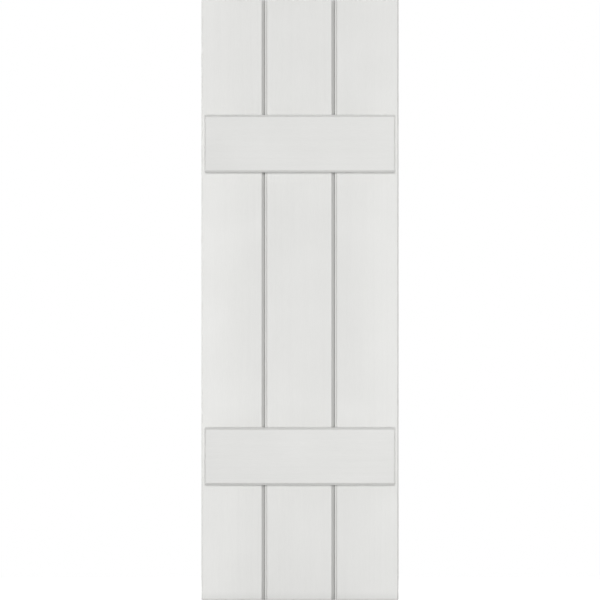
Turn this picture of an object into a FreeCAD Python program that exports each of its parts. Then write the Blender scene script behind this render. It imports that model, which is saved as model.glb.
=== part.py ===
import FreeCAD, Part
import math
import os
import Sketcher

# Board and batten shutter: three tongue-and-groove boards held by two battens.
# Frame: millimetres, +Z up, front towards -Y, origin at the centre of the back face.

# Driving dimensions, in millimetres and degrees
SIZES = {
    "shutter_width": 304.8,
    "shutter_height": 927.1,
    "board_thickness": 19.05,
    "middle_face": 107.95,
    "edge_chamfer": 2.2,
    "end_ease": 1.0,
    "back_arris": 0.7,
    "bevel_width": 5.4,
    "bevel_depth": 6.6,
    "bead_width": 2.0,
    "bead_rise": 0.25,
    "quirk_width": 1.4,
    "quirk_depth": 1.2,
    "tongue_thickness": 5.2,
    "tongue_length": 6.4,
    "tongue_clearance": 0.15,
    "tip_chamfer": 0.8,
    "tip_clearance": 0.8,
    "seam_gap": 0.7,
    "batten_width": 88.9,
    "batten_thickness": 19.05,
    "batten_from_end": 177.8,
    "batten_inset": 6.35,
    "batten_chamfer": 3.2,
    "batten_end_ease": 1.0,
    "screw_hole": 4.5,
    "screw_head": 8.8,
    "screw_head_angle": 82.0,
    "screw_from_edge": 24.0,
    "screw_from_batten_edge": 22.0,
}

# Sizes that follow from the driving ones
DERIVED = {
    "outer_face": "=(shutter_width - middle_face) / 2",
    "tongue_back": "=(board_thickness - bevel_depth - tongue_thickness) / 2",
    "tongue_front": "=tongue_back + tongue_thickness",
    "groove_back": "=tongue_back - tongue_clearance",
    "groove_front": "=tongue_front + tongue_clearance",
    "groove_depth": "=tongue_length + tip_clearance",
    "bead_radius": "=(bead_width ^ 2 / 4 + bead_rise ^ 2) / (2 * bead_rise)",
    "quirk_middle": "=bead_width + quirk_width / 3",
    "batten_length": "=shutter_width - 2 * batten_inset",
    "batten_outer_edge": "=shutter_height / 2 - batten_from_end",
    "batten_inner_edge": "=batten_outer_edge - batten_width",
    "screw_outer_row": "=batten_outer_edge - screw_from_batten_edge",
    "screw_inner_row": "=batten_inner_edge + screw_from_batten_edge",
}

TOLERANCE = 1e-4

doc = FreeCAD.newDocument("board_and_batten_shutter")
sheet = doc.addObject("Spreadsheet::Sheet", "sizes")
for row, (alias, content) in enumerate([*SIZES.items(), *DERIVED.items()], start=1):
    sheet.set(f"A{row}", alias)
    sheet.set(f"B{row}", str(content))
    sheet.setAlias(f"B{row}", alias)
doc.recompute()


def amount(formula):
    """Value of a sum of sheet aliases such as 'outer_face - bevel_width'."""
    total = 0.0
    sign = 1.0
    for word in formula.split():
        if word in "+-":
            sign = 1.0 if word == "+" else -1.0
        elif word != "0":
            total += sign * float(sheet.get(word))
    return total


def expression(formula):
    """The same sum, written for the expression engine."""
    return " ".join(word if word in "+-0" else f"sizes.{word}" for word in formula.split())


def new_body(label):
    body = doc.addObject("PartDesign::Body", label)
    body.Label = label
    return body


def new_sketch(body, name, role):
    sketch = body.newObject("Sketcher::SketchObject", f"{body.Name}_{name}")
    plane = next(item for item in body.Origin.OriginFeatures if item.Role == role)
    sketch.AttachmentSupport = [(plane, "")]
    sketch.MapMode = "FlatFace"
    return sketch


def bind(sketch, constraint, formula):
    index = sketch.addConstraint(constraint)
    sketch.setExpression(f"Constraints[{index}]", expression(formula))


def locate(sketch, geometry, point, formula, axis, side):
    """Ordinate dimension of one sketch point from the sketch origin."""
    if formula == "0":
        other_axis = -2 if axis == "X" else -1
        sketch.addConstraint(Sketcher.Constraint("PointOnObject", geometry, point, other_axis))
        return
    ends = (-1, 1, geometry, point) if side > 0 else (geometry, point, -1, 1)
    bind(sketch, Sketcher.Constraint(f"Distance{axis}", *ends, amount(formula)), formula)


def bulge(start, end, radius):
    """Anticlockwise arc between two points, less than half a circle."""
    chord = end - start
    middle = (start + end) * 0.5
    reach = math.sqrt(max(radius ** 2 - (chord.Length / 2) ** 2, 0.0))
    left = FreeCAD.Vector(-chord.y, chord.x, 0).normalize()
    centre = middle + left * reach
    circle = Part.Circle(centre, FreeCAD.Vector(0, 0, 1), radius)
    return Part.ArcOfCircle(
        circle,
        math.atan2(start.y - centre.y, start.x - centre.x),
        math.atan2(end.y - centre.y, end.x - centre.x),
    )


def draw_section(sketch, corners, sides):
    """Closed section. A corner is (x, y) or (x, y, radius of the arc that starts there)."""
    points = [
        FreeCAD.Vector(sides[0] * amount(corner[0]), sides[1] * amount(corner[1]), 0)
        for corner in corners
    ]
    count = len(corners)
    for index, corner in enumerate(corners):
        start = points[index]
        end = points[(index + 1) % count]
        if len(corner) == 3:
            sketch.addGeometry(bulge(start, end, amount(corner[2])))
        else:
            sketch.addGeometry(Part.LineSegment(start, end))
    for index, corner in enumerate(corners):
        sketch.addConstraint(Sketcher.Constraint("Coincident", index, 2, (index + 1) % count, 1))
        locate(sketch, index, 1, corner[0], "X", sides[0])
        locate(sketch, index, 1, corner[1], "Y", sides[1])
        if len(corner) == 3:
            bind(sketch, Sketcher.Constraint("Radius", index, amount(corner[2])), corner[2])


def extrude(body, sketch, length):
    pad = body.newObject("PartDesign::Pad", f"{body.Name}_pad")
    pad.Profile = sketch
    pad.Midplane = True
    pad.setExpression("Length", f"sizes.{length}")
    doc.recompute()
    return pad


def ease(body, base, name, edges, radius):
    fillet = body.newObject("PartDesign::Fillet", f"{body.Name}_{name}")
    fillet.Base = (base, edges)
    fillet.setExpression("Radius", f"sizes.{radius}")
    doc.recompute()
    return fillet


def edges_between(shape, first, second):
    """Names of the edges that lie on both of two planes, each given as (axis, position)."""
    def lies_on(edge, plane):
        axis, position = plane
        return all(abs(getattr(v.Point, axis) - position) < TOLERANCE for v in edge.Vertexes)

    return [
        f"Edge{number}"
        for number, edge in enumerate(shape.Edges, start=1)
        if lies_on(edge, first) and lies_on(edge, second)
    ]


# Board edges, as corners (across the face, up from the back) in anticlockwise order
PLAIN_LEFT = [
    ("back_arris", "0"),
    ("0", "back_arris"),
    ("0", "board_thickness - edge_chamfer"),
    ("edge_chamfer", "board_thickness"),
]
GROOVED_LEFT = [
    ("back_arris", "0"),
    ("0", "back_arris"),
    ("0", "groove_back"),
    ("groove_depth", "groove_back"),
    ("groove_depth", "groove_front"),
    ("0", "groove_front"),
    ("0", "board_thickness - bead_rise", "bead_radius"),
    ("bead_width", "board_thickness - bead_rise"),
    ("quirk_middle", "board_thickness - quirk_depth"),
    ("bead_width + quirk_width", "board_thickness"),
]


def plain_right(face):
    return [
        (f"{face} - edge_chamfer", "board_thickness"),
        (face, "board_thickness - edge_chamfer"),
        (face, "back_arris"),
        (f"{face} - back_arris", "0"),
    ]


def tongued_right(face):
    shoulder = f"{face} - seam_gap"
    tip = f"{face} + tongue_length"
    return [
        (f"{face} - bevel_width", "board_thickness"),
        (shoulder, "board_thickness - bevel_depth"),
        (shoulder, "tongue_front"),
        (f"{tip} - tip_chamfer", "tongue_front"),
        (tip, "tongue_front - tip_chamfer"),
        (tip, "tongue_back + tip_chamfer"),
        (f"{tip} - tip_chamfer", "tongue_back"),
        (shoulder, "tongue_back"),
        (shoulder, "back_arris"),
        (f"{shoulder} - back_arris", "0"),
    ]


def drill(body, face):
    """Countersunk screw holes from the back, two for each batten."""
    sketch = new_sketch(body, "hole_centres", "XZ_Plane")
    columns = ("screw_from_edge", f"{face} - screw_from_edge")
    places = [
        (columns[0], "screw_outer_row", 1),
        (columns[1], "screw_inner_row", 1),
        (columns[0], "screw_inner_row", -1),
        (columns[1], "screw_outer_row", -1),
    ]
    for index, (across, up, side) in enumerate(places):
        centre = FreeCAD.Vector(amount(across), side * amount(up), 0)
        radius = amount("screw_hole") / 2
        sketch.addGeometry(Part.Circle(centre, FreeCAD.Vector(0, 0, 1), radius))
        locate(sketch, index, 3, across, "X", 1)
        locate(sketch, index, 3, up, "Y", side)
        bind(sketch, Sketcher.Constraint("Diameter", index, 2 * radius), "screw_hole")
    doc.recompute()
    hole = body.newObject("PartDesign::Hole", f"{body.Name}_holes")
    hole.Profile = sketch
    doc.recompute()
    hole.Reversed = True
    hole.DepthType = "ThroughAll"
    hole.HoleCutType = "Countersink"
    hole.setExpression("Diameter", "sizes.screw_hole")
    hole.setExpression("HoleCutDiameter", "sizes.screw_head")
    hole.setExpression("HoleCutCountersinkAngle", "sizes.screw_head_angle")
    doc.recompute()


def make_board(label, face, left_edge, right_edge, left_side):
    body = new_body(label)
    section = new_sketch(body, "section", "XY_Plane")
    draw_section(section, left_edge + right_edge, (1, -1))
    pad = extrude(body, section, "shutter_height")
    front = ("y", -amount("board_thickness"))
    half_height = amount("shutter_height") / 2
    ends = []
    for end in (half_height, -half_height):
        ends += edges_between(pad.Shape, front, ("z", end))
    ease(body, pad, "end_ease", ends, "end_ease")
    drill(body, face)
    body.setExpression("Placement.Base.x", left_side)
    return body


def make_batten(label, lower_edge):
    body = new_body(label)
    section = new_sketch(body, "section", "YZ_Plane")
    corners = [
        ("batten_thickness - batten_chamfer", "0"),
        ("back_arris", "0"),
        ("0", "back_arris"),
        ("0", "batten_width - back_arris"),
        ("back_arris", "batten_width"),
        ("batten_thickness - batten_chamfer", "batten_width"),
        ("batten_thickness", "batten_width - batten_chamfer"),
        ("batten_thickness", "batten_chamfer"),
    ]
    draw_section(section, corners, (-1, 1))
    pad = extrude(body, section, "batten_length")
    front = ("y", -amount("batten_thickness"))
    half_length = amount("batten_length") / 2
    ends = []
    for end in (half_length, -half_length):
        ends += edges_between(pad.Shape, front, ("x", end))
    ease(body, pad, "end_ease", ends, "batten_end_ease")
    body.setExpression("Placement.Base.y", "-sizes.board_thickness")
    body.setExpression("Placement.Base.z", lower_edge)
    return body


left_side = "-sizes.shutter_width / 2"
bodies = [
    make_board(
        "left_board", "outer_face",
        PLAIN_LEFT, tongued_right("outer_face"),
        left_side,
    ),
    make_board(
        "middle_board", "middle_face",
        GROOVED_LEFT, tongued_right("middle_face"),
        f"{left_side} + sizes.outer_face",
    ),
    make_board(
        "right_board", "outer_face",
        GROOVED_LEFT, plain_right("outer_face"),
        f"{left_side} + sizes.outer_face + sizes.middle_face",
    ),
    make_batten("upper_batten", "sizes.batten_inner_edge"),
    make_batten("lower_batten", "-sizes.batten_outer_edge"),
]
doc.recompute()

# Every object must be sound before any file is written
for item in doc.Objects:
    if "Invalid" in item.State or "Error" in item.State:
        raise RuntimeError(f"{item.Name} did not recompute")
for body in bodies:
    if body.Shape.isNull() or not body.Shape.isValid() or len(body.Shape.Solids) != 1:
        raise RuntimeError(f"{body.Label} is not one valid solid")

os.makedirs("parts", exist_ok=True)
for body in bodies:
    body.Shape.exportStep(f"parts/{body.Label}.step")
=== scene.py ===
import math
import random

import bpy
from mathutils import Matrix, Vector


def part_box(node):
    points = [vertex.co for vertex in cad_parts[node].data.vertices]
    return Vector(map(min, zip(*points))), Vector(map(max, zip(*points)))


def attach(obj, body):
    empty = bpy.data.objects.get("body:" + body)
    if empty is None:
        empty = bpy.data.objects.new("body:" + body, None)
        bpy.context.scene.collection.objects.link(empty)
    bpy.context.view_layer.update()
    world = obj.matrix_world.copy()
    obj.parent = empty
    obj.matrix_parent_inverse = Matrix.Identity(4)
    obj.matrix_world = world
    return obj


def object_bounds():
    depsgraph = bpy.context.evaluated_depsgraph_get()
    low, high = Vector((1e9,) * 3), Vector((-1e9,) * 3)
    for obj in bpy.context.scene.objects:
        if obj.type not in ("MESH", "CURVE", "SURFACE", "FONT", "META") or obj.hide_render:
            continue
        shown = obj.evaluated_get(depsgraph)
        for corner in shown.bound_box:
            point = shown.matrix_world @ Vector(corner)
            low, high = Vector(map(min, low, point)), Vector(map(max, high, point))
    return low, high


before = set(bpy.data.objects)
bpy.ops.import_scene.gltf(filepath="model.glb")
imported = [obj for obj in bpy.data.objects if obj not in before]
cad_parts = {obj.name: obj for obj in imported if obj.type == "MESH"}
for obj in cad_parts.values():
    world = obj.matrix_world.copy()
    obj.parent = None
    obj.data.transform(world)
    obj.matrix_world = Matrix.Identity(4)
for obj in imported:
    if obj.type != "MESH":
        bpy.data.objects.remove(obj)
cad_low, cad_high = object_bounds()
joint_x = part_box("right_board")[0].x
batten_low, batten_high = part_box("upper_batten")

MM = 0.001
ORIGIN = (0.0, 0.0, 0.0)
UNIT = (0.0, 1.0)

# Camera: a lens so long that the view is nearly parallel, in millimetres, and its limit in metres
LENS = 800.0
SENSOR = 36.0
CLIP_END = 100.0

# Key light from the front: strength, and degrees up, to the right and across its disc
KEY_LEVEL = 2.281
KEY_RISE = 2.8
KEY_ASIDE = 1.0
KEY_SPREAD = 18.0

# Square lamps, in watts and metres: at the left, at each side behind the shutter, and above it
LEFT_POWER = 17.0
LEFT_PLACE = (-3.0, -0.3, 0.1)
LEFT_SIZE = 0.8
REAR_POWER = 78.0
REAR_PLACE = (2.3, 2.0, 1.2)
REAR_SIZE = 2.6
TOP_POWER = 18.0
TOP_PLACE = (0.0, 0.45, 2.6)
TOP_SIZE = 0.9

# World and floor: shares of white, then metres
AMBIENT = 0.15
FLOOR_GLOW = 0.35
FLOOR_ALBEDO = 0.85
FLOOR_BOUNCE = 0.35
FLOOR_DROP = 0.0002
FLOOR_HALF = 40.0
FLOOR_FADE = (0.7, 1.8)

# Paint: linear colours, specular level, and the share by which each pattern moves the tone
BOARD_TONE = (0.738, 0.738, 0.722)
BATTEN_TONE = (0.731, 0.731, 0.715)
PAINT_SPECULAR = 0.35
TONE_SWING = {"mottle": 0.018, "streak": 0.007, "brush": 0.022}
SWING_SPAN = (0.25, 0.75)

# Patterns of the paint: scale per metre, step of the seed, detail
EVEN_NOISES = {
    "mottle": (14.0, 0.0, 3.0),
    "stipple": (1500.0, 13.0, 2.0),
    "patch": (60.0, 17.0, 3.0),
}
GRAIN_NOISES = {
    "streak": (160.0, 5.0, 4.0),
    "fibre": (900.0, 9.0, 3.0),
    "brush": (2200.0, 21.0, 2.0),
}

# Painted light and shade by place: multipliers of the tone, then where they change, in metres from
# the middle
# Painted light: the outer boards lighter towards their outer edges, less so near the ends, the
# middle board a little darker
PAINTED_LIGHT_MIDDLE = 0.988
PAINTED_LIGHT_OUTER = 1.056
PAINTED_LIGHT_ENDS = 1.022
# Painted shade: every piece a little darker towards the bottom
PAINTED_SHADE_LOW = 0.972
# Painted shade at the left ends of the battens, painted light at their right ends
PAINTED_SHADING_BATTENS = (0.973, 1.013)
# Painted shade: the boards darker at the foot
PAINTED_SHADE_FOOT = 0.905
PAINTED_LIGHT_HEIGHTS = (0.06, 0.22)
PAINTED_SHADE_LOW_HEIGHTS = (-0.3, -0.16)
PAINTED_LIGHT_ASIDE = (0.07, 0.14)
PAINTED_SHADING_ALONG = (-0.1, 0.1)
FOOT_REACH = 0.014

# Grain of each piece: its axis, the pith across that axis in millimetres, and the seed
GRAIN = {
    "left_board": ("Z", (-118.0, 74.0), 1.0),
    "middle_board": ("Z", (12.0, 92.0), 2.0),
    "right_board": ("Z", (88.0, 66.0), 3.0),
    "upper_batten": ("X", (70.0, 256.0), 6.0),
    "lower_batten": ("X", (58.0, -228.0), 7.0),
}
GRAIN_STRETCH = 0.035
SEED_SHIFT = 0.37

# Growth rings: spacing in millimetres, waver, the dark part of a ring, and its tint on face and end
RING_SPACING = 3.4
RING_WAVER = 7.0
RING_DETAIL = 2.0
RING_DETAIL_SCALE = 0.5
LATEWOOD = (0.5, 1.0)
RING_FACE = 0.006
RING_END = 0.07
WAVE_RADIANS = 20.0  # Blender's wave texture turns by this angle to its unit

# Cut ends: how far the face turns to the grain's axis, and the multiplier of the tone
CUT_END = (0.6, 0.9)
END_TONE = 0.95

# Painted shade in hollows: reach in millimetres, multiplier of the tone, and the openness over
# which it fades
AO_SAMPLES = 8
PAINTED_SEAM_SHADE = (8.0, 0.76, (0.04, 0.18))
PAINTED_JOINT_SHADE = (3.0, 0.92, (0.4, 0.72))
PAINTED_CORNER_SHADE = (35.0, 0.947, (0.5, 1.0))
PAINTED_RECESS_SHADE = (2.0, 0.45, (0.4, 0.95))
JOINT_ZONE = (5.4, 9.0)

# Edges: rounding and wear in millimetres, worn tint, turn of the normal (cosine), and patchiness
BEVEL_SAMPLES = 4
ROUND_REACH = 0.25
WEAR_REACH = 0.8
WEAR_TONE = (0.84, 0.815, 0.76)
WEAR_TURN = (0.995, 0.93)
WEAR_PATCH = (0.48, 0.6)

# Roughness of the paint, what cut ends add to it, and its relief in millimetres
SHEEN_SPAN = (0.2, 0.8)
SHEEN = (0.42, 0.54)
SHEEN_END = 0.2
RELIEF = {"fibre": 0.5, "stipple": 0.6, "latewood": 0.35, "brush": 0.5}
RELIEF_STRENGTH = 0.6
RELIEF_DEPTH = 0.14

# Zinc plate: colours, bloom, roughness, and turning marks
ZINC_DULL = (0.42, 0.42, 0.40, 1.0)
ZINC_BRIGHT = (0.60, 0.61, 0.62, 1.0)
BLOOM = (700.0, 3.0, 3.0)
BLOOM_SPAN = (0.3, 0.7)
ZINC_SHEEN = (0.28, 0.48)
TURNING_SCALE = 2600.0
TURNING_WAVER = 1.5
TURNING_DETAIL = 1.0
TURNING_STRENGTH = 0.25
TURNING_DEPTH = 0.02

# Screws, in millimetres: a step is a depth below the back and a radius
SCREW_FROM_EDGE = 24.0
SCREW_FROM_BATTEN_EDGE = 22.0
SCREW_POINT = 31.0
SCREW_STEPS = (
    (27.0, 1.35), (20.5, 1.75), (18.6, 2.05), (2.62, 2.05), (2.48, 2.2),
    (0.56, 3.94), (0.46, 4.0), (0.37, 3.95), (0.35, 3.8),
)
SCREW_SEED = 11
SHARP_ANGLE = 32.0

# Cross recess: a step is a depth, the length of an arm and half its width
RECESS_STEPS = (
    (0.35, 2.42, 0.66), (0.42, 2.32, 0.58), (1.35, 1.75, 0.46), (2.0, 1.05, 0.36), (2.25, 0.5, 0.3),
)
RECESS_FLOOR = 2.35
RECESS_GAP = (27.0, 36.0, 45.0)  # degrees from an arm
TINY = 1e-9


# Node helpers

def feed(tree, socket, value):
    """Link another node's output to a socket, or set the socket to a constant."""
    if isinstance(value, bpy.types.NodeSocket):
        tree.links.new(value, socket)
    else:
        socket.default_value = value


def add(tree, kind, *values, **settings):
    """New shader node, with values for its sockets in order.

    A setting is an attribute, or the socket of that name when its key starts with in_.
    """
    made = tree.nodes.new(kind)
    for key, value in settings.items():
        if key.startswith("in_"):
            feed(tree, made.inputs[key[3:].replace("_", " ")], value)
        else:
            setattr(made, key, value)
    for socket, value in zip(made.inputs, values):
        feed(tree, socket, value)
    return made


def new_material(name):
    material = bpy.data.materials.new(name)
    material.use_nodes = True
    material.node_tree.nodes.clear()
    return material, material.node_tree


def grey(level):
    return (level, level, level, 1.0)


def math_node(tree, operation, *values):
    return add(tree, "ShaderNodeMath", *values, operation=operation).outputs["Value"]


def product(tree, values):
    total = values[0]
    for value in values[1:]:
        total = math_node(tree, "MULTIPLY", total, value)
    return total


def one_minus(tree, value):
    return math_node(tree, "SUBTRACT", 1.0, value)


def scaled(tree, colour, factor):
    made = add(tree, "ShaderNodeVectorMath", colour, operation="SCALE", in_Scale=factor)
    return made.outputs["Vector"]


def ramp(tree, value, span, ends=UNIT, smooth=False):
    """Value carried over from a span to new ends, and held at those beyond it."""
    made = add(
        tree, "ShaderNodeMapRange", interpolation_type="SMOOTHSTEP" if smooth else "LINEAR",
        in_Value=value, in_From_Min=span[0], in_From_Max=span[1],
        in_To_Min=ends[0], in_To_Max=ends[1],
    )
    return made.outputs["Result"]


def noise(tree, vector, scale, seed, detail):
    made = add(
        tree, "ShaderNodeTexNoise", noise_dimensions="4D",
        in_Vector=vector, in_W=seed, in_Scale=scale, in_Detail=detail,
    )
    return made.outputs["Fac"]


def painted_hollow_shade(tree, reach, tone, openness):
    """Painted shade: a multiplier that falls to the given tone in narrow grooves and inner corners.
    """
    occlusion = add(tree, "ShaderNodeAmbientOcclusion", samples=AO_SAMPLES, in_Distance=reach * MM)
    return ramp(tree, occlusion.outputs["AO"], openness, (tone, 1.0))


# Painted wood

def grain_space(tree, spot, axis, pith, seed):
    """Place measured from the pith, and drawn out along the grain."""
    stretch = [1.0, 1.0, 1.0]
    stretch[axis] = GRAIN_STRETCH
    shift = [-offset * MM for offset in pith]
    shift.insert(axis, seed * SEED_SHIFT)
    along = add(tree, "ShaderNodeMapping", spot, in_Scale=stretch, in_Location=shift)
    return along.outputs["Vector"]


def growth_rings(tree, grain, grain_axis):
    """Share of dense latewood, from 0 to 1."""
    rings = add(
        tree, "ShaderNodeTexWave", wave_type="RINGS", rings_direction=grain_axis,
        in_Vector=grain, in_Scale=math.tau / WAVE_RADIANS / (RING_SPACING * MM),
        in_Distortion=RING_WAVER, in_Detail=RING_DETAIL, in_Detail_Scale=RING_DETAIL_SCALE,
    )
    return ramp(tree, rings.outputs["Fac"], LATEWOOD, smooth=True)


def beside_joint(tree, where):
    """1 at the joints between the boards, falling to 0 a little way off."""
    aside = math_node(tree, "ABSOLUTE", where["X"])
    away = math_node(tree, "ABSOLUTE", math_node(tree, "SUBTRACT", aside, joint_x))
    return ramp(tree, away, [reach * MM for reach in JOINT_ZONE], (1.0, 0.0))


def board_painted_shading(tree, where, beside):
    """Multipliers of the tone for the boards: painted shade at the joints, in inner corners and at
    the foot, and painted light on the outer boards.
    """
    # Painted shade in the grooves by the joints
    joint_shade = product(tree, [one_minus(tree, painted_hollow_shade(tree, *PAINTED_JOINT_SHADE)), beside])
    # Painted shade in inner corners away from the joints, as beside the battens
    corner_shade = product(tree, [one_minus(tree, painted_hollow_shade(tree, *PAINTED_CORNER_SHADE)), one_minus(tree, beside)])
    aside = math_node(tree, "ABSOLUTE", where["X"])
    height = math_node(tree, "ABSOLUTE", where["Z"])
    # Painted light: lighter towards the outer edges of the outer boards
    outer = ramp(tree, height, PAINTED_LIGHT_HEIGHTS, (PAINTED_LIGHT_OUTER, PAINTED_LIGHT_ENDS))
    # Painted shade at the foot
    foot = (cad_low.z, cad_low.z + FOOT_REACH)
    return [
        one_minus(tree, joint_shade),
        one_minus(tree, corner_shade),
        ramp(tree, aside, PAINTED_LIGHT_ASIDE, (PAINTED_LIGHT_MIDDLE, outer), smooth=True),
        ramp(tree, where["Z"], foot, (PAINTED_SHADE_FOOT, 1.0), smooth=True),
    ]


def edge_wear(tree, patch):
    """Share of rubbed paint: patches along the edges."""
    bent = add(tree, "ShaderNodeBevel", samples=BEVEL_SAMPLES, in_Radius=WEAR_REACH * MM)
    flat = add(tree, "ShaderNodeNewGeometry")
    turn = add(
        tree, "ShaderNodeVectorMath", bent.outputs["Normal"], flat.outputs["Normal"],
        operation="DOT_PRODUCT",
    )
    arris = ramp(tree, turn.outputs["Value"], WEAR_TURN)
    return product(tree, [arris, ramp(tree, patch, WEAR_PATCH)])


def painted_wood(name, grain_axis, pith, seed):
    """Satin off-white paint over softwood: the grain just shows, with end grain on cut ends."""
    upright = grain_axis == "Z"
    tone = BOARD_TONE if upright else BATTEN_TONE
    axis = "XYZ".index(grain_axis)
    material, tree = new_material(name)
    place = add(tree, "ShaderNodeTexCoord")
    spot = place.outputs["Object"]
    where = add(tree, "ShaderNodeSeparateXYZ", spot).outputs
    facing = add(tree, "ShaderNodeSeparateXYZ", place.outputs["Normal"]).outputs
    cut_end = ramp(tree, math_node(tree, "ABSOLUTE", facing[axis]), CUT_END, smooth=True)

    grain = grain_space(tree, spot, axis, pith, seed)
    patterns = {"latewood": growth_rings(tree, grain, grain_axis)}
    for space, noises in ((spot, EVEN_NOISES), (grain, GRAIN_NOISES)):
        for kind, (scale, step, detail) in noises.items():
            patterns[kind] = noise(tree, space, scale, seed + step, detail)

    ring_tint = ramp(tree, cut_end, UNIT, (RING_FACE, RING_END))
    factors = [
        ramp(tree, patterns[kind], SWING_SPAN, (1.0 - share, 1.0 + share))
        for kind, share in TONE_SWING.items()
    ]
    factors += [
        one_minus(tree, product(tree, [patterns["latewood"], ring_tint])),
        ramp(tree, cut_end, UNIT, (1.0, END_TONE)),
        # Painted shade deep in the seams and slots
        painted_hollow_shade(tree, *PAINTED_SEAM_SHADE),
        # Painted shade, darker towards the bottom
        ramp(tree, where["Z"], PAINTED_SHADE_LOW_HEIGHTS, (PAINTED_SHADE_LOW, 1.0), smooth=True),
    ]
    worn = edge_wear(tree, patterns["patch"])
    if upright:
        beside = beside_joint(tree, where)
        # Painted shade and painted light of the boards
        factors += board_painted_shading(tree, where, beside)
        worn = product(tree, [worn, one_minus(tree, beside)])
    else:
        # Painted shade towards the left end of a batten, painted light towards its right end
        factors.append(ramp(tree, where["X"], PAINTED_SHADING_ALONG, PAINTED_SHADING_BATTENS))

    rubbed = [level * share for level, share in zip(tone, WEAR_TONE)]
    paint = add(
        tree, "ShaderNodeMix", data_type="RGBA",
        in_Factor=worn, in_A=(*tone, 1.0), in_B=(*rubbed, 1.0),
    )
    colour = scaled(tree, paint.outputs["Result"], product(tree, factors))

    sheen = math_node(
        tree, "ADD", ramp(tree, patterns["mottle"], SHEEN_SPAN, SHEEN),
        ramp(tree, cut_end, UNIT, (0.0, SHEEN_END)),
    )

    height = 0.0
    for kind, share in RELIEF.items():
        height = math_node(tree, "MULTIPLY_ADD", patterns[kind], share, height)
    rounded = add(tree, "ShaderNodeBevel", samples=BEVEL_SAMPLES, in_Radius=ROUND_REACH * MM)
    bump = add(
        tree, "ShaderNodeBump", in_Strength=RELIEF_STRENGTH, in_Distance=RELIEF_DEPTH * MM,
        in_Height=height, in_Normal=rounded.outputs["Normal"],
    )
    shader = add(
        tree, "ShaderNodeBsdfPrincipled", in_Base_Color=colour, in_Roughness=sheen,
        in_Specular_IOR_Level=PAINT_SPECULAR, in_Normal=bump.outputs["Normal"],
    )
    add(tree, "ShaderNodeOutputMaterial", in_Surface=shader.outputs["BSDF"])
    return material


# Screws

def plated_steel(name):
    """Zinc plate with a slight bloom, turning marks, and painted shade in the recess."""
    material, tree = new_material(name)
    spot = add(tree, "ShaderNodeTexCoord").outputs["Object"]
    bloom = noise(tree, spot, *BLOOM)
    plate = add(
        tree, "ShaderNodeMix", data_type="RGBA", in_Factor=bloom, in_A=ZINC_DULL, in_B=ZINC_BRIGHT,
    )
    # Painted shade in the cross recess
    colour = scaled(tree, plate.outputs["Result"], painted_hollow_shade(tree, *PAINTED_RECESS_SHADE))
    turning = add(
        tree, "ShaderNodeTexWave", wave_type="RINGS", rings_direction="Y", in_Vector=spot,
        in_Scale=TURNING_SCALE, in_Distortion=TURNING_WAVER, in_Detail=TURNING_DETAIL,
    )
    bump = add(
        tree, "ShaderNodeBump", in_Strength=TURNING_STRENGTH, in_Distance=TURNING_DEPTH * MM,
        in_Height=turning.outputs["Fac"],
    )
    shader = add(
        tree, "ShaderNodeBsdfPrincipled", in_Metallic=1.0, in_Base_Color=colour,
        in_Roughness=ramp(tree, bloom, BLOOM_SPAN, ZINC_SHEEN), in_Normal=bump.outputs["Normal"],
    )
    add(tree, "ShaderNodeOutputMaterial", in_Surface=shader.outputs["BSDF"])
    return material


def put_in_scene(name, data):
    made = bpy.data.objects.new(name, data)
    bpy.context.scene.collection.objects.link(made)
    return made


def recess_angles(length, width):
    """Angles round the head that take in every corner of the cross."""
    tip = math.degrees(math.atan2(width, length))
    before = [-angle for angle in reversed(RECESS_GAP)]
    arm = [*before, -tip, -tip / 2, 0.0, tip / 2, tip, *RECESS_GAP[:-1]]
    return [math.radians(90.0 * quarter + angle) for quarter in range(4) for angle in arm]


def cross_radius(angle, length, width):
    """Distance from the axis to the outline of a cross with the given arm length and half width."""
    quarter = math.pi / 2
    turn = (angle + quarter / 2) % quarter - quarter / 2
    return min(length / math.cos(turn), width / max(abs(math.sin(turn)), TINY))


def screw_mesh(material):
    """Countersunk wood screw on the Y axis, its driven end towards +Y."""
    angles = recess_angles(*RECESS_STEPS[0][1:])
    count = len(angles)
    rings = [(depth, [radius] * count) for depth, radius in SCREW_STEPS]
    for depth, length, width in RECESS_STEPS:
        rings.append((depth, [cross_radius(angle, length, width) for angle in angles]))
    points = [
        (radius * math.cos(angle) * MM, -depth * MM, radius * math.sin(angle) * MM)
        for depth, radii in rings for angle, radius in zip(angles, radii)
    ]
    last = (len(rings) - 1) * count
    point, floor = len(points), len(points) + 1
    points += [(0.0, -SCREW_POINT * MM, 0.0), (0.0, -RECESS_FLOOR * MM, 0.0)]
    faces = []
    for i in range(count):
        following = (i + 1) % count
        for start in range(0, last, count):
            end = start + count
            faces.append((start + i, end + i, end + following, start + following))
        faces += [(point, i, following), (floor, last + following, last + i)]
    mesh = bpy.data.meshes.new("wood_screw")
    mesh.from_pydata(points, [], faces)
    mesh.materials.append(material)
    mesh.shade_smooth()
    mesh.set_sharp_from_angle(angle=math.radians(SHARP_ANGLE))
    return mesh


def make_screws():
    """Two screws through each board into each batten, driven from the back."""
    mesh = screw_mesh(plated_steel("zinc_plate"))
    turns = random.Random(SCREW_SEED)
    from_edge = SCREW_FROM_EDGE * MM
    outer = batten_high.z - SCREW_FROM_BATTEN_EDGE * MM
    inner = batten_low.z + SCREW_FROM_BATTEN_EDGE * MM
    boards = ((cad_low.x, -joint_x), (-joint_x, joint_x), (joint_x, cad_high.x))
    for board, edges in enumerate(boards, start=1):
        left, right = edges[0] + from_edge, edges[1] - from_edge
        places = ((left, outer), (right, inner), (left, -inner), (right, -outer))
        for number, (x, z) in enumerate(places, start=1):
            screw = put_in_scene(f"screw_{board}_{number}", mesh)
            screw.location = (x, 0.0, z)
            screw.rotation_euler.y = turns.uniform(0.0, math.tau)
            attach(screw, "root")


# Floor, background, lights and camera

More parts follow.
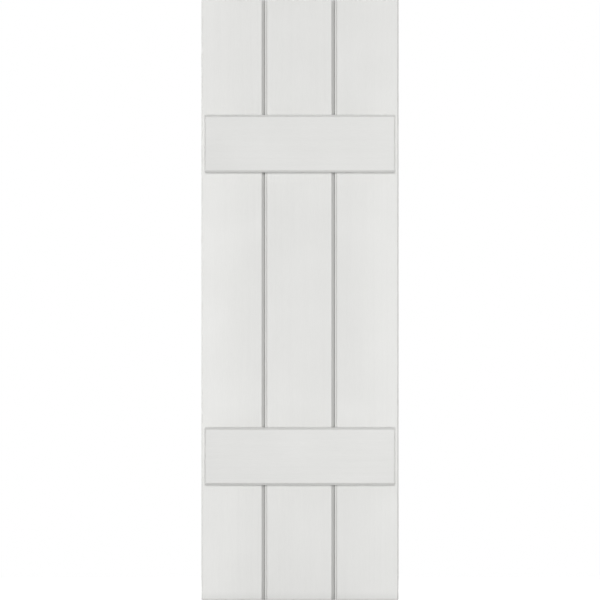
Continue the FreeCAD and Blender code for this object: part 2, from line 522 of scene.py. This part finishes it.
def camera_or(tree, seen, lit):
    """One shader for camera, glossy and transmission rays, the other for the rays that light."""
    rays = add(tree, "ShaderNodeLightPath").outputs
    mirrored = math_node(tree, "MAXIMUM", rays["Is Glossy Ray"], rays["Is Transmission Ray"])
    looking = math_node(tree, "MAXIMUM", rays["Is Camera Ray"], mirrored)
    return add(tree, "ShaderNodeMixShader", looking, lit, seen).outputs["Shader"]


def floor_material():
    """Pale floor that keeps the shadow near the shutter and turns white further off."""
    material, tree = new_material("pale_floor")
    glow = add(tree, "ShaderNodeEmission", in_Strength=FLOOR_GLOW)
    matt = add(tree, "ShaderNodeBsdfDiffuse", in_Color=grey(FLOOR_ALBEDO))
    near = add(tree, "ShaderNodeAddShader", glow.outputs["Emission"], matt.outputs["BSDF"])
    white = add(tree, "ShaderNodeEmission", in_Strength=1.0)
    spot = add(tree, "ShaderNodeTexCoord").outputs["Object"]
    distance = add(tree, "ShaderNodeVectorMath", spot, operation="LENGTH").outputs["Value"]
    far = ramp(tree, distance, FLOOR_FADE, smooth=True)
    seen = add(tree, "ShaderNodeMixShader", far, near.outputs["Shader"], white.outputs["Emission"])
    bounce = add(tree, "ShaderNodeBsdfDiffuse", in_Color=grey(FLOOR_BOUNCE))
    surface = camera_or(tree, seen.outputs["Shader"], bounce.outputs["BSDF"])
    add(tree, "ShaderNodeOutputMaterial", in_Surface=surface)
    return material


def make_floor():
    half = FLOOR_HALF
    corners = [(-half, -half, 0.0), (half, -half, 0.0), (half, half, 0.0), (-half, half, 0.0)]
    mesh = bpy.data.meshes.new("floor")
    mesh.from_pydata(corners, [], [(0, 1, 2, 3)])
    mesh.materials.append(floor_material())
    floor = put_in_scene("floor", mesh)
    floor.location.z = cad_low.z - FLOOR_DROP
    # Part of the key's disc lies below the horizon, and the floor doesn't hold its light back
    floor.visible_shadow = False


def make_world():
    """White to look at, and a weak even light on the object."""
    world = bpy.data.worlds.new("studio")
    bpy.context.scene.world = world
    world.use_nodes = True
    tree = world.node_tree
    tree.nodes.clear()
    seen = add(tree, "ShaderNodeBackground", in_Color=grey(1.0), in_Strength=1.0)
    lit = add(tree, "ShaderNodeBackground", in_Color=grey(1.0), in_Strength=AMBIENT)
    surface = camera_or(tree, seen.outputs["Background"], lit.outputs["Background"])
    add(tree, "ShaderNodeOutputWorld", in_Surface=surface)


def aim(thing, target):
    thing.rotation_euler = (Vector(target) - thing.location).to_track_quat("-Z", "Y").to_euler()


def soft_light(name, place, power, size):
    """Square lamp aimed at the middle of the shutter."""
    lamp = bpy.data.lights.new(name, "AREA")
    lamp.shape = "SQUARE"
    lamp.size = size
    lamp.energy = power
    made = put_in_scene(name, lamp)
    made.location = place
    made.visible_camera = False
    aim(made, ORIGIN)


def far_light(name, aside, rise, level, spread):
    """Even light from the front, turned to the right and raised by some degrees."""
    lamp = bpy.data.lights.new(name, "SUN")
    lamp.energy = level
    lamp.angle = math.radians(spread)
    made = put_in_scene(name, lamp)
    made.rotation_euler = (math.radians(90.0 - rise), 0.0, math.radians(aside))
    made.visible_camera = False


def make_camera():
    """Square on to the front, from where the shutter fills the height of the picture."""
    data = bpy.data.cameras.new("camera")
    data.lens = LENS
    data.sensor_width = SENSOR
    data.clip_end = CLIP_END
    camera = put_in_scene("camera", data)
    board_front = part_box("middle_board")[0].y
    half_height = (cad_high.z - cad_low.z) / 2
    distance = half_height / (SENSOR / 2 / LENS)
    camera.location = (0.0, board_front - distance, 0.0)
    aim(camera, ORIGIN)
    bpy.context.scene.camera = camera


for node, (grain_axis, pith, seed) in GRAIN.items():
    paint = painted_wood(f"paint_{node}", grain_axis, pith, seed)
    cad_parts[node].material_slots[0].material = paint
make_screws()
make_floor()
make_world()
far_light("key", KEY_ASIDE, KEY_RISE, KEY_LEVEL, KEY_SPREAD)
soft_light("left", LEFT_PLACE, LEFT_POWER, LEFT_SIZE)
soft_light("rear_right", REAR_PLACE, REAR_POWER, REAR_SIZE)
soft_light("rear_left", (-REAR_PLACE[0], *REAR_PLACE[1:]), REAR_POWER, REAR_SIZE)
soft_light("top", TOP_PLACE, TOP_POWER, TOP_SIZE)
make_camera()
bpy.context.scene.view_settings.view_transform = "Standard"
